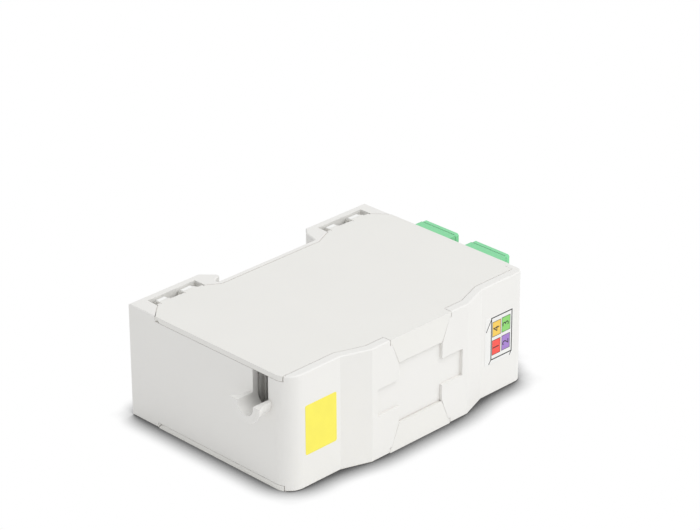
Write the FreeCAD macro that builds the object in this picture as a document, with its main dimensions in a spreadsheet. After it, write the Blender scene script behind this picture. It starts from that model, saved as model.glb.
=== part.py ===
"""A small DIN rail box that ends fibre cables on four shuttered fibre adapters.

All lengths are millimetres. The box lies on its lower side cover, as it does on a bench. X runs from the
cable entry to the adapters, Y from the front nose to the rail, Z up through both side covers. Every piece is
drawn in the housing's own axes: the cable end wall at X 0, the front flats at Y 0 and the lower cover's outer
face at Z 0. One placement then moves each piece so that the origin lies under the middle of the whole part.
"""

import FreeCAD, Part

import math
import os
import re

import Sketcher

doc = FreeCAD.newDocument("DinRailFibreBox")
sheet = doc.addObject("Spreadsheet::Sheet", "Sizes")
V = FreeCAD.Vector

aliases = {}
pieces = []


def size(alias, value, note="driving size"):
    """One line of the sheet: a driving size as a number, or a size worked out from the others."""
    row = len(aliases) + 1
    aliases[alias] = row
    sheet.set(f"A{row}", f"{alias}: {note}")
    sheet.set(f"B{row}", str(value))
    sheet.setAlias(f"B{row}", alias)


# Overall form of the housing
length = 90.0  # cable end to adapter end, the modular device height
height = 34.0  # over both side covers
depth = 61.8  # front flats to the feet's outer face
nose_reach = 3.1  # nose in front of the flats
nose_offset = 0.9  # middle of the nose beyond the middle of the length
nose_flat = 36.9  # width of the nose's flat face
nose_base = 54.3  # width of the nose where its slopes start
corner_round = 5.0  # front corner at the cable end
corner_small = 2.4  # front corner at the adapter end
edge_bevel = 0.3  # moulded edge break

# Walls
front_wall = 2.5  # front wall, also the rim in front of the covers
cable_wall = 1.8  # end wall with the cable slot
port_wall = 2.0  # end wall that holds the adapters
foot_reach = 7.2  # feet beyond the plane that rests on the rail
rail_wall = 1.6  # wall behind the rail face
web = 1.6  # floor between the two fibre bays

# Side covers
cover_plate = 1.5  # plate thickness
cover_gap = 0.25  # gap round a cover's edge
seat_gap = 0.1  # gap under a cover
shoulder_inset = 3.6  # where a cover stops on the end faces, in front of the rail face
post_width = 2.1  # corner post of the rim at the adapter end, along the box
post_depth = 5.6  # corner post of the rim at the adapter end, behind the flats
cover_bevel = 1.25  # bevel under the rear edge, so that it clears the rim
tab_root = 23.2  # snap tab width at the cover
tab_tip = 16.6  # snap tab width at its tip
tab_drop = 7.9  # snap tab length down the nose
tab_plate = 1.4  # snap tab thickness
tab_gap = 0.15  # gap round the snap tab
locating_rib = 1.0  # thickness and height of the ribs inside a cover

# Finger recess in the nose
grip_bar = 32.6  # width of the wide middle bar
grip_bar_height = 8.1  # height of the wide middle bar
grip_depth = 0.9  # depth of the recess

# Feet and rail seat
hook_offset = 19.0  # fixed foot's edge at the rail face, before the middle of the length
hook_reach = 2.8  # overhang of the fixed hook
hook_gap = 1.2  # room for the rail's edge behind the hook
rail_room = 37.0  # room for the rail between the feet
latch_foot_slope = 3.4  # lean of that foot's edge over its height

# Cover hinges
hinge_inset = 2.8  # hinge axis behind the rail face
hinge_sink = 1.9  # hinge axis below the cover's outer face
hinge_rod = 0.9  # radius of the moulded rod
hinge_play = 0.1  # radial play of a knuckle on the rod
knuckle = 1.7  # outer radius of a knuckle
knuckle_mouth = 1.4  # mouth that snaps over the rod
well_first = 4.8  # start of the hinge well in the foot at the cable end
well_inset = 6.0  # hinge well in the second foot from the foot's edge
well_wall = 3.8  # wall that closes that well at the adapter end
well_margin = 0.3  # room round a turning knuckle
tongue_back = 2.0  # cover edge in front of the hinge axis
knuckle_a = 1.6  # first knuckle from the well's start
knuckle_a_width = 3.6  # first knuckle's width
knuckle_b_inset = 6.8  # second knuckle from the well's end
knuckle_b_width = 4.6  # second knuckle's width

# Rail latch
latch_width = 12.4  # slider width
latch_plate = 2.4  # slider thickness
latch_inset = 0.7  # slider's face behind the rail face
latch_play = 0.15  # play round the slider
latch_bite = 3.5  # how far the slider's tip stands out of its foot
latch_travel = 3.5  # pull that frees the rail
latch_handle = 0.8  # slider end outside the end face
stop_distance = 9.0  # fixed spring stop from the adapter end
stop_plate = 1.4  # thickness of the fixed spring stop
latch_spring_length = 9.0  # spring length at rest
latch_spring_radius = 0.95  # coil radius at the wire's middle
latch_wire = 0.3  # wire diameter

# Cable entry
entry_line = 10.4  # middle of the cable entry behind the front flats
entry_radius = 2.9  # inside radius of the trough and slot
entry_wall = 1.15  # trough wall
entry_drop = 9.1  # middle of the trough below the upper cover's outer face
entry_lip = 0.7  # straight lip above the trough's middle
trough_reach = 5.5  # trough outside the end wall

# Adapters and shutters
column_first = 18.0  # first adapter column behind the front flats
column_pitch = 19.3  # distance between the adapter columns
port_inset = 4.85  # port middle below the collar's high edge
port_width = 9.4  # plug opening across
port_height = 7.6  # plug opening up
port_lead = 0.4  # lead-in round the opening
key_width = 2.4  # keyway across
key_depth = 0.7  # keyway depth
neck_step = 0.4  # neck narrower than the tube, each side
adapter_width = 12.8  # adapter tube across
adapter_height = 9.8  # adapter tube up
adapter_half = 14.0  # mouth to the middle of an adapter
collar_width = 13.2  # collar in front of the wall, across
collar_low = 2.0  # collar's low edge from the middle plane
collar_play = 0.05  # gap between a collar and the cover over it
collar_reach = 5.2  # collar's face outside the wall
ear_relief = 0.7  # bevel under the collar, so that an opening shutter clears it
neck_play = 0.1  # adapter play in its notch
flange_width = 14.8  # retaining flange across
flange_plate = 1.6  # retaining flange thickness
sleeve_bore = 1.25  # ferrule radius in the sleeve
sleeve_outer = 1.6  # sleeve's outer radius
sleeve_half = 5.7  # half the sleeve's length
sleeve_slit = 0.5  # slit along the sleeve
holder_outer = 2.2  # sleeve holder's outer radius
holder_play = 0.1  # sleeve's radial play in its holder
holder_length = 7.2  # sleeve holder from the adapter's middle
catch_plate = 1.0  # plate that carries the plug catches
catch_inset = 0.95  # plug catch inside the port's side wall
catch_arm = 0.9  # catch thickness
catch_height = 4.8  # catch height
catch_length = 8.4  # catch length from the adapter's middle
catch_barb = 0.5  # catch barb
shutter_line = 3.1  # shutter hinge from the middle plane
shutter_arm = 2.8  # shutter hinge behind the shutter's face
shutter_plate = 1.3  # shutter thickness
shutter_gap = 0.1  # gap between shutter and collar
shutter_corner = 0.45  # bevel on a shutter's corners
shutter_tail = 0.6  # shutter edge beyond its hinge
shutter_overlap = 0.05  # shutter beyond the collar's high edge
shutter_pad = 0.45  # dust pad on the shutter's back
shutter_lug = 1.2  # hinge lug's width and outer radius
shutter_pin = 0.5  # hinge pin radius
pin_play = 0.06  # radial play of a lug on the pin
pin_hole_play = 0.03  # radial play of the pin in the collar
recess_half = 5.6  # half width of the spring recess
recess_back = 1.9  # back of the spring recess from the hinge
recess_rise = 2.3  # top of the spring recess from the hinge
spring_room = 0.5  # room beside the shutter spring, each side
spring_radius = 0.9  # shutter spring radius at the wire's middle
spring_wire = 0.36  # shutter spring wire diameter
label_plate = 0.12  # label thickness
label_margin = 1.1  # shutter round its label, low and high
label_inset = 0.5  # shutter round its label, each side

# Fibre trays and splice holders
tray_plate = 1.0  # tray thickness
tray_start = 15.5  # tray's edge from the cable end
tray_room = 30.0  # room between the tray and the adapter end
tray_front = 4.0  # tray's front edge
tray_inset = 2.6  # tray's rear edge in front of the rail face
core_inset = 20.5  # middle of the winding core from the tray's edge
core_edge = 4.0  # tray in front of the core
core_margin = 7.2  # tray in front of the core and gap behind it, together
core_wall = 1.3  # winding core's wall
core_rise = 8.6  # winding core's height over the tray
core_gap = 7.0  # gap between two quarters of the core
core_tab = 3.6  # reach of the tabs that keep fibre on the core
core_tab_plate = 1.0  # tab thickness
pass_radius = 4.4  # hole through the floor for fibre that changes sides
holder_base = 0.9  # splice holder's base thickness
holder_start = 21.0  # splice holder's edge from the cable end
holder_span = 30.0  # splice holder's length
holder_inset = 11.8  # splice holder's front edge before the tray's rear edge
holder_wall = 0.9  # splice holder's finger thickness
splice_pitch = 2.7  # distance between two splices
splice_rise = 4.6  # finger height over the base

for name, number in list(vars().items()):
    if isinstance(number, float):
        size(name, number)

# Worked out from the sizes above
size("mid", "=height / 2", "middle plane")
size("rail_face", "=depth - foot_reach", "plane that rests on the rail")
size("nose_centre", "=length / 2 + nose_offset", "middle of the nose from the cable end")
size("hook_root", "=length / 2 - hook_offset", "fixed foot's edge at the rail face")
size("latch_root", "=hook_root + rail_room", "moving side's foot edge at the rail face")
size("cover_shoulder", "=rail_face - shoulder_inset", "where a cover stops on the end faces")
size("hinge_line", "=rail_face + hinge_inset", "hinge axis behind the front flats")
size("well_second", "=latch_root + well_inset", "start of the hinge well in the foot at the adapter end")
size("well_length", "=length - latch_root - well_inset - well_wall", "length of a hinge well")
size("knuckle_b", "=well_length - knuckle_b_inset", "second knuckle from the well's start")
size("latch_face", "=rail_face + latch_inset", "slider's face towards the rail")
size("entry_rise", "=height - entry_drop", "middle of the trough above the lower face")
size("nose_low", "=nose_centre - nose_base / 2", "nose slope starts here, cable side")
size("nose_high", "=nose_centre + nose_base / 2", "nose slope ends here, adapter side")
size("flat_low", "=nose_centre - nose_flat / 2", "nose flat starts here")
size("flat_high", "=nose_centre + nose_flat / 2", "nose flat ends here")
size("rim", "=front_wall + cover_gap", "front edge of a cover, behind the flats")
size("cover_back", "=rail_face - rail_wall - cover_gap", "rear edge of a cover between the feet")
size("tongue_edge", "=hinge_line - tongue_back", "rear edge of a cover at its hinges")
size("seat", "=cover_plate + seat_gap", "depth of a cover's seat")
size("bay_floor", "=height / 2 - web / 2", "depth of a fibre bay below the outer face")
size("collar_high", "=height / 2 - seat - collar_play", "collar's high edge from the middle plane")
size("port_rise", "=collar_high - port_inset", "port middle from the box's middle plane")
size("shutter_rise", "=collar_high + shutter_overlap - shutter_line", "shutter edge from its hinge on the port's side")
size("spring_half", "=recess_half - shutter_lug - spring_room", "half length of the shutter spring")
size("catch_line", "=port_width / 2 - catch_inset", "plug catch from the port's middle")
size("tray_length", "=length - tray_start - tray_room", "tray along the box")
size("tray_back", "=rail_face - tray_inset", "tray's rear edge")
size("holder_front", "=tray_back - holder_inset", "splice holder's front edge")
size("core_radius", "=(holder_front - tray_front - core_margin) / 2", "winding core's outer radius")
size("core_x", "=tray_start + core_inset", "middle of the winding core")
size("core_y", "=tray_front + core_radius + core_edge", "middle of the winding core behind the front flats")
size("well_front", "=hinge_line - knuckle - well_margin / 2", "front of the hinge wells")
size("well_back", "=hinge_line + hinge_sink + well_margin", "back of the hinge wells")
size("well_depth", "=hinge_sink + knuckle + well_margin", "depth of the hinge wells")
size("shutter_face", "=length + collar_reach + shutter_gap + shutter_plate", "shutter's outer face")
size("shutter_axis", "=shutter_face - shutter_arm", "shutter hinge from the cable end")
size("adapter_mid", "=length + collar_reach - adapter_half", "adapter's middle from the cable end")
size("tray_floor", "=bay_floor - tray_plate", "depth of the tray's top below the outer face")
size("origin_x", "=(shutter_face + label_plate - trough_reach) / 2", "middle of the whole part along X")
size("origin_y", "=(depth - nose_reach) / 2", "middle of the whole part along Y")
doc.recompute()

words = re.compile(r"[a-z_][a-z_]*")


def bind(text):
    """Writes a formula in the sheet's words as an expression that any object can hold."""
    return words.sub(lambda found: "Sizes." + found[0] if found[0] in aliases else found[0], str(text))


def value(text):
    """The number that a formula gives now."""
    return float(sheet.evalExpression(bind(text).replace("Sizes.", "")))


def neg(text):
    return f"-({text})"


class Piece:
    """One moulded or turned sub-part: a body of sketched features, in the housing's axes."""

    def __init__(self, label):
        self.label = label
        self.body = doc.addObject("PartDesign::Body", label)
        self.body.Label = label
        place(self.body)
        pieces.append(self.body)

    def sketch(self, name, plane, level, outlines):
        """A sketch on a plane parallel to one of the body's own, holding closed outlines bound to the sheet."""
        sketch = self.body.newObject("Sketcher::SketchObject", name + "Sketch")
        support = [f for f in self.body.Origin.OriginFeatures if f.Role == plane + "_Plane"]
        sketch.AttachmentSupport = (support[0], [""])
        sketch.MapMode = "FlatFace"
        sketch.setExpression("AttachmentOffset.Base.z", bind(level))
        for outline in outlines:
            outline(sketch)
        return sketch

    def solid(self, kind, name, plane, low, high, outlines):
        """A pad or pocket that fills the space between two levels across a plane."""
        start = {
            ("PartDesign::Pad", "XY"): low,
            ("PartDesign::Pad", "YZ"): low,
            ("PartDesign::Pad", "XZ"): neg(high),
            ("PartDesign::Pocket", "XY"): high,
            ("PartDesign::Pocket", "YZ"): high,
            ("PartDesign::Pocket", "XZ"): neg(low),
        }[(kind, plane)]
        profile = self.sketch(name, plane, start, outlines)
        feature = self.body.newObject(kind, name)
        feature.Profile = profile
        feature.setExpression("Length", bind(f"({high}) - ({low})"))
        feature.Refine = False
        return feature

    def pad(self, name, plane, low, high, *outlines):
        return self.solid("PartDesign::Pad", name, plane, low, high, outlines)

    def pocket(self, name, plane, low, high, *outlines):
        return self.solid("PartDesign::Pocket", name, plane, low, high, outlines)

    def dress(self, kind, name, amount, test):
        """A fillet or chamfer on the edges of the last feature that pass a test."""
        doc.recompute()
        base = self.body.Tip
        found = [f"Edge{i + 1}" for i, edge in enumerate(base.Shape.Edges) if test(edge)]
        feature = self.body.newObject(kind, name)
        feature.Base = (base, found)
        feature.setExpression("Radius" if kind.endswith("Fillet") else "Size", bind(amount))
        return feature


def place(thing):
    """Moves a piece from the housing's axes to the part's own origin."""
    thing.setExpression("Placement.Base.x", "-Sizes.origin_x")
    thing.setExpression("Placement.Base.y", "-Sizes.origin_y")


def loop(*corners):
    """A closed outline through corners bound to the sheet. A corner's third entry is the radius of an arc
    that leaves it: above 0 the arc turns left, below 0 it turns right, and without one the side is straight.
    """

    def draw(sketch):
        first = sketch.GeometryCount
        count = len(corners)
        spots = [V(value(corner[0]), value(corner[1]), 0) for corner in corners]
        ends = []
        for i, corner in enumerate(corners):
            start, end = spots[i], spots[(i + 1) % count]
            if len(corner) == 2:
                sketch.addGeometry(Part.LineSegment(start, end), False)
                ends.append((1, 2))
            else:
                left = corner[3] if len(corner) > 3 else 1
                sketch.addGeometry(arc_between(start, end, left * value(corner[2])), False)
                ends.append((1, 2) if left > 0 else (2, 1))
        for i in range(count):
            after = (i + 1) % count
            sketch.addConstraint(
                Sketcher.Constraint("Coincident", first + i, ends[i][1], first + after, ends[after][0])
            )
        for i, corner in enumerate(corners):
            fix(sketch, "DistanceX", first + i, ends[i][0], corner[0])
            fix(sketch, "DistanceY", first + i, ends[i][0], corner[1])
            if len(corner) > 2:
                fix_radius(sketch, first + i, corner[2])

    return draw


def arc_between(start, end, radius):
    """The short arc from one point to another; a radius below 0 turns it right."""
    chord = end - start
    reach = math.sqrt(radius**2 - (chord.Length / 2) ** 2)
    side = V(-chord.y, chord.x, 0).normalize() * math.copysign(reach, radius)
    middle = (start + end) * 0.5 + side
    ring = Part.Circle(middle, V(0, 0, 1), abs(radius))
    angles = [math.atan2(p.y - middle.y, p.x - middle.x) for p in (start, end)]
    if radius < 0:
        angles.reverse()
    return Part.ArcOfCircle(ring, *angles)


def fix_radius(sketch, curve, text):
    """Binds a circle's or arc's radius to a formula."""
    number = sketch.addConstraint(Sketcher.Constraint("Radius", curve, value(text)))
    sketch.setExpression(f"Constraints[{number}]", bind(text))


def fix(sketch, kind, line, point, text):
    """Binds one coordinate of a sketched point to a formula."""
    number = sketch.addConstraint(Sketcher.Constraint(kind, -1, 1, line, point, value(text)))
    sketch.setExpression(f"Constraints[{number}]", bind(text))


def box(x_low, y_low, x_high, y_high):
    return loop((x_low, y_low), (x_high, y_low), (x_high, y_high), (x_low, y_high))


def circle(x, y, radius):
    """A full circle whose middle and radius are bound to the sheet."""

    def draw(sketch):
        ring = sketch.addGeometry(Part.Circle(V(value(x), value(y), 0), V(0, 0, 1), value(radius)), False)
        fix(sketch, "DistanceX", ring, 3, x)
        fix(sketch, "DistanceY", ring, 3, y)
        fix_radius(sketch, ring, radius)

    return draw


def fine_ring(x, y, radius, sides=12):
    """A small round outline drawn with flats, so that features of a millimetre or two need few facets."""
    turns = [math.radians(360 * (i + 0.5) / sides) for i in range(sides)]
    return loop(*((f"{x} + ({radius}) * {math.cos(a):.4f}", f"{y} + ({radius}) * {math.sin(a):.4f}") for a in turns))


def below(side, near, far):
    """The two levels, low then high, that lie near and far below the outer face of one side."""
    if side == "upper":
        return f"height - ({far})", f"height - ({near})"
    return near, far


def upright(edge, x, y, reach=0.01):
    """Whether an edge stands along Z at one place of the plan."""
    box = edge.BoundBox
    flat = box.XLength < reach and box.YLength < reach
    return flat and abs(box.XMin - value(x)) < reach and abs(box.YMin - value(y)) < reach


def level_edge(edge, z, reach=0.01):
    """Whether an edge lies flat at one height."""
    box = edge.BoundBox
    return box.ZLength < reach and abs(box.ZMin - value(z)) < reach


SIDES = ("upper", "lower")
WELLS = ("well_first", "well_second")


def cover_outline():
    """The plan of a side cover, with the housing's round corner, the snap tab's root and both hinge tongues."""
    front = "rim"
    back = "cover_back"
    tongue = "tongue_edge"
    shoulder = "cover_shoulder"
    root = "tab_root / 2"
    return loop(
        ("0", "corner_round", "corner_round"),
        ("corner_round - sqrt(corner_round ^ 2 - (corner_round - rim) ^ 2)", front),
        ("nose_low", front),
        ("flat_low", f"{front} - nose_reach"),
        (f"nose_centre - ({root})", f"{front} - nose_reach"),
        (f"nose_centre - ({root})", "-nose_reach"),
        (f"nose_centre + ({root})", "-nose_reach"),
        (f"nose_centre + ({root})", f"{front} - nose_reach"),
        ("flat_high", f"{front} - nose_reach"),
        ("nose_high", front),
        ("length - post_width", front),
        ("length - post_width", "post_depth"),
        ("length", "post_depth"),
        ("length", shoulder),
        ("well_second + well_length", tongue),
        ("well_second", tongue),
        ("latch_root", back),
        ("hook_root", back),
        ("well_first + well_length", tongue),
        ("well_first", tongue),
        ("0", shoulder),
    )


def make_housing():
    """The moulded frame: four walls, a floor between two bays, the nose, both feet and the cable trough."""
    piece = Piece("housing_frame")
    hook_tip = "hook_root + hook_reach"
    piece.pad(
        "Plan", "XY", "0", "height",
        loop(
            ("0", "0"),
            ("nose_low", "0"),
            ("flat_low", "-nose_reach"),
            ("flat_high", "-nose_reach"),
            ("nose_high", "0"),
            ("length", "0"),
            ("length", "depth"),
            ("latch_root + latch_foot_slope", "depth"),
            ("latch_root + latch_foot_slope / 3", "depth - 2.6"),
            ("latch_root", "rail_face"),
            ("hook_root", "rail_face"),
            ("hook_root", "rail_face + hook_gap"),
            (hook_tip, "rail_face + hook_gap + hook_reach / 2"),
            (hook_tip, "rail_face + hook_gap + hook_reach / 2 + 0.9"),
            ("hook_root - 0.8", "depth"),
            ("0", "depth"),
        ),
    )
    piece.dress("PartDesign::Fillet", "RoundCorner", "corner_round", lambda e: upright(e, "0", "0"))
    piece.dress("PartDesign::Fillet", "SmallCorner", "corner_small", lambda e: upright(e, "length", "0"))
    piece.dress(
        "PartDesign::Chamfer", "OuterEdges", "edge_bevel",
        lambda e: level_edge(e, "0") or level_edge(e, "height"),
    )
    for side in SIDES:
        low, high = below(side, "-1", "seat")
        piece.pocket(side + "Seat", "XY", low, high, seat_outline())
        low, high = below(side, "seat - 0.5", "bay_floor")
        piece.pocket(side + "Bay", "XY", low, high, bay_outline())
    piece.pocket("PassHole", "XY", "mid - web", "mid + web", circle("core_x", "core_y", "pass_radius"))
    make_nose(piece)
    make_entry(piece)
    make_notches(piece)
    make_hinge_wells(piece)
    make_latch_channel(piece)
    return piece


def seat_outline():
    """The recess that a cover drops into, open at both end faces and through the nose at the tab."""
    root = "tab_root / 2 + tab_gap"
    front = "front_wall"
    back = "rail_face - rail_wall"
    tongue = "tongue_edge + cover_gap"
    shoulder = "cover_shoulder + cover_gap"
    return loop(
        ("-1", front),
        ("nose_low", front),
        ("flat_low", f"{front} - nose_reach"),
        (f"nose_centre - ({root})", f"{front} - nose_reach"),
        (f"nose_centre - ({root})", "-nose_reach - 1"),
        (f"nose_centre + ({root})", "-nose_reach - 1"),
        (f"nose_centre + ({root})", f"{front} - nose_reach"),
        ("flat_high", f"{front} - nose_reach"),
        ("nose_high", front),
        ("length - post_width + cover_gap", front),
        ("length - post_width + cover_gap", "post_depth - cover_gap"),
        ("length + 1", "post_depth - cover_gap"),
        ("length + 1", shoulder),
        ("length", shoulder),
        ("well_second + well_length", tongue),
        ("well_second", tongue),
        ("latch_root", back),
        ("hook_root", back),
        ("well_first + well_length", tongue),
        ("well_first", tongue),
        ("0", shoulder),
        ("-1", shoulder),
    )


def bay_outline():
    """The inside of a fibre bay, following the nose."""
    return loop(
        ("cable_wall", "front_wall"),
        ("nose_low", "front_wall"),
        ("flat_low", "front_wall - nose_reach"),
        ("flat_high", "front_wall - nose_reach"),
        ("nose_high", "front_wall"),
        ("length - port_wall", "front_wall"),
        ("length - port_wall", "rail_face - rail_wall"),
        ("cable_wall", "rail_face - rail_wall"),
    )


def make_nose(piece):
    """Seats for the two snap tabs and the cross-shaped finger recess between them."""
    face = "-nose_reach"
    root = "(tab_root / 2 + tab_gap)"
    tip = "(tab_tip / 2 + tab_gap)"
    seats = [
        loop(
            (f"nose_centre - {root}", edge),
            (f"nose_centre + {root}", edge),
            (f"nose_centre + {tip}", end),
            (f"nose_centre - {tip}", end),
        )
        for edge, end in (
            ("height + 0.5", "height - tab_drop - tab_gap"),
            ("-0.5", "tab_drop + tab_gap"),
        )
    ]
    piece.pocket("TabSeats", "XZ", f"{face} - 1", f"{face} + tab_plate + tab_gap", *seats)
    bar = "grip_bar / 2"
    arm = "tab_tip / 2"
    rise = "grip_bar_height / 2"
    high = "height - tab_drop - tab_gap + 0.01"
    low = "tab_drop + tab_gap - 0.01"
    piece.pocket(
        "Grip", "XZ", f"{face} - 1", f"{face} + grip_depth",
        loop(
            (f"nose_centre - {bar}", f"mid - {rise}"),
            (f"nose_centre - {arm}", f"mid - {rise}"),
            (f"nose_centre - {arm}", low),
            (f"nose_centre + {arm}", low),
            (f"nose_centre + {arm}", f"mid - {rise}"),
            (f"nose_centre + {bar}", f"mid - {rise}"),
            (f"nose_centre + {bar}", f"mid + {rise}"),
            (f"nose_centre + {arm}", f"mid + {rise}"),
            (f"nose_centre + {arm}", high),
            (f"nose_centre - {arm}", high),
            (f"nose_centre - {arm}", f"mid + {rise}"),
            (f"nose_centre - {bar}", f"mid + {rise}"),
        ),
    )


def make_entry(piece):
    """The cable slot, its half-round trough, a ribbed guide wall and a bridge for a cable tie."""
    outer = "entry_radius + entry_wall"
    lip = "entry_rise + entry_lip"
    piece.pad("TroughRound", "YZ", neg("trough_reach"), "cable_wall / 2", circle("entry_line", "entry_rise", outer))
    piece.pocket(
        "TroughTop", "YZ", "-trough_reach - 1", "0",
        box(f"entry_line - 2 * ({outer})", "entry_rise", f"entry_line + 2 * ({outer})", "height - seat"),
    )
    piece.pad(
        "TroughLips", "YZ", neg("trough_reach"), "cable_wall / 2",
        box(f"entry_line - ({outer})", "entry_rise", f"entry_line + {outer}", lip),
    )
    piece.pocket(
        "EntryRound", "YZ", "-trough_reach - 1", "cable_wall + 0.5",
        circle("entry_line", "entry_rise", "entry_radius"),
    )
    piece.pocket(
        "EntrySlot", "YZ", "-trough_reach - 1", "cable_wall + 0.5",
        box("entry_line - entry_radius", "entry_rise", "entry_line + entry_radius", "height"),
    )
    floor = "height - bay_floor"
    guide = "entry_line + entry_radius + 1.2"
    piece.pad(
        "GuideWall", "XY", f"{floor} - 0.5", "height - seat - 0.6",
        box("cable_wall - 0.5", guide, "tray_start - 1.5", f"{guide} + 1.1"),
    )
    ribs = [
        box(f"cable_wall + {1.2 + 2.2 * i:.1f}", f"{guide} - 0.7", f"cable_wall + {2.0 + 2.2 * i:.1f}", f"{guide} + 0.5")
        for i in range(5)
    ]
    piece.pad("GuideRibs", "XY", f"{floor} - 0.5", "height - seat - 1.2", *ribs)
    piece.pad(
        "TieBridge", "XY", f"{floor} + 1.6", f"{floor} + 3.2",
        box("cable_wall + 6", "front_wall - 0.5", "cable_wall + 9", f"{guide} + 0.5"),
    )


def make_notches(piece):
    """Four notches in the adapter end, open towards the covers so that the adapters drop in."""
    half = "(adapter_width / 2 - neck_step + neck_play)"
    edge = "(collar_low - neck_play)"
    notches = []
    cradles = []
    for column in (0, 1):
        middle = f"column_first + {column} * column_pitch"
        for low, high in ((f"mid + {edge}", "height - seat + 0.5"), ("seat - 0.5", f"mid - {edge}")):
            notches.append(box(f"{middle} - {half}", low, f"{middle} + {half}", high))
        for inset in (14.0, 22.0):
            cradles.append(box(f"length - {inset + 1.2}", f"{middle} - 5", f"length - {inset}", f"{middle} + 5"))
    piece.pocket("Notches", "YZ", "length - port_wall - 0.5", "length + 1", *notches)
    for side in SIDES:
        low, high = below(side, "height / 2 - port_rise + adapter_height / 2 + neck_play", "bay_floor + 0.5")
        piece.pad(side + "Cradles", "XY", low, high, *cradles)


def make_hinge_wells(piece):
    """A well in each foot for the cover's knuckles, with a moulded rod and its middle support."""
    for side in SIDES:
        low, high = below(side, "-1", "well_depth")
        wells = [box(start, "well_front", f"{start} + well_length", "well_back") for start in WELLS]
        piece.pocket(side + "Wells", "XY", low, high, *wells)
    for start in WELLS:
        rods = [circle("hinge_line", axis, "hinge_rod") for axis in ("hinge_sink", "height - hinge_sink")]
        piece.pad("Rods" + start, "YZ", f"{start} - 0.5", f"{start} + well_length + 0.5", *rods)
    for side in SIDES:
        low, high = below(side, "hinge_sink", "well_depth + 0.5")
        supports = [
            box(
                f"{start} + knuckle_a + knuckle_a_width + 0.2", "hinge_line - 0.6",
                f"{start} + knuckle_b - 0.2", "hinge_line + 0.6",
            )
            for start in WELLS
        ]
        piece.pad(side + "Supports", "XY", low, high, *supports)


def make_latch_channel(piece):
    """The slider's track through the second foot, its spring stop, thumb notch and moulding windows."""
    half = "latch_width / 2 + latch_play"
    face = "latch_face - latch_play"
    back = "latch_face + latch_plate + latch_play"
    piece.pocket(
        "Track", "YZ", "latch_root - 2", "length + 1",
        box(face, f"mid - ({half})", back, f"mid + {half}"),
    )
    piece.pad(
        "SpringStop", "YZ", "length - stop_distance", "length - stop_distance + stop_plate",
        box(f"{face} - 0.3", "mid - 1.2", f"{back} + 0.3", "mid + 1.2"),
    )
    piece.pocket(
        "ThumbNotch", "YZ", "length - 2", "length + 1",
        box(f"{back} - 0.1", f"mid - ({half})", "depth + 1", f"mid + {half}"),
    )
    near = f"({half} + 1.5)"
    far = "(height / 2 - well_depth - 0.25)"
    spans = ((f"mid + {near}", f"mid + {far}"), (f"mid - {far}", f"mid - {near}"))
    plates = [box("rail_face + 0.3", low, f"{back} + 1.2", high) for low, high in spans]
    windows = [box(f"{back} + 0.05", low, f"{back} + 1.2", high) for low, high in spans]
    piece.pocket("WindowPlates", "YZ", "length - 1.2", "length + 1", *plates)
    piece.pocket("Windows", "YZ", "latch_root - 2", "length + 1", *windows)


def make_cover(side):
    """A side cover: flat plate, snap tab over the nose and four knuckles that clip on the feet's rods."""
    piece = Piece(side + "_cover")
    low, high = below(side, "0", "cover_plate")
    piece.pad("Plate", "XY", low, high, cover_outline())
    inner = "height - cover_plate" if side == "upper" else "cover_plate"
    corner = "height" if side == "upper" else "0"
    limit = value("cover_shoulder") - 0.01

    def rear(edge):
        box = edge.BoundBox
        along_end = box.XLength < 0.01
        return level_edge(edge, inner) and box.YMin > limit and not along_end

    piece.dress("PartDesign::Chamfer", "RearBevel", "cover_bevel", rear)
    edge = "height" if side == "upper" else "0"
    end = "height - tab_drop" if side == "upper" else "tab_drop"
    piece.pad(
        "SnapTab", "XZ", "-nose_reach", "-nose_reach + tab_plate",
        loop(
            ("nose_centre - tab_root / 2", edge),
            ("nose_centre + tab_root / 2", edge),
            ("nose_centre + tab_tip / 2", end),
            ("nose_centre - tab_tip / 2", end),
        ),
    )
    span = below(side, "cover_plate - 0.3", "cover_plate + locating_rib")
    piece.pad(
        "LocatingRibs", "XY", span[0], span[1],
        box("cable_wall + 0.4", "front_wall + 4", "cable_wall + 0.4 + locating_rib", "entry_line - entry_radius - 0.4"),
        box("cable_wall + 0.4", "entry_line + entry_radius + 4", "cable_wall + 0.4 + locating_rib", "rail_face - rail_wall - 4"),
        box("flat_low + 2", "front_wall - nose_reach + 0.4", "flat_high - 2", "front_wall - nose_reach + 0.4 + locating_rib"),
        box("hook_root", "rail_face - rail_wall - 3", "latch_root", "rail_face - rail_wall - 3 + locating_rib"),
    )
    axis = "height - hinge_sink" if side == "upper" else "hinge_sink"
    away = 1 if side == "upper" else -1
    for number, start in enumerate(WELLS):
        for letter in ("a", "b"):
            tag = f"{number + 1}{letter}"
            x_low = f"{start} + knuckle_{letter}"
            x_high = f"{x_low} + knuckle_{letter}_width"
            piece.pad(
                "Arm" + tag, "YZ", x_low, x_high,
                loop(
                    ("tongue_edge - 2", corner),
                    ("tongue_edge + 1.1", corner),
                    ("hinge_line", f"{axis} + {away} * knuckle"),
                    ("hinge_line", axis),
                    ("tongue_edge + 0.3", inner),
                    ("tongue_edge - 2", inner),
                ),
            )
            piece.pad("Knuckle" + tag, "YZ", x_low, x_high, fine_ring("hinge_line", axis, "knuckle"))
            piece.pocket("Bore" + tag, "YZ", x_low, x_high, fine_ring("hinge_line", axis, "hinge_rod + hinge_play"))
            mouth = (axis, f"{axis} - {away} * 2 * knuckle")
            piece.pocket(
                "Mouth" + tag, "YZ", x_low, x_high,
                box("hinge_line - knuckle_mouth / 2", mouth[0], "hinge_line + knuckle_mouth / 2", mouth[1]),
            )
    return piece


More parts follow.
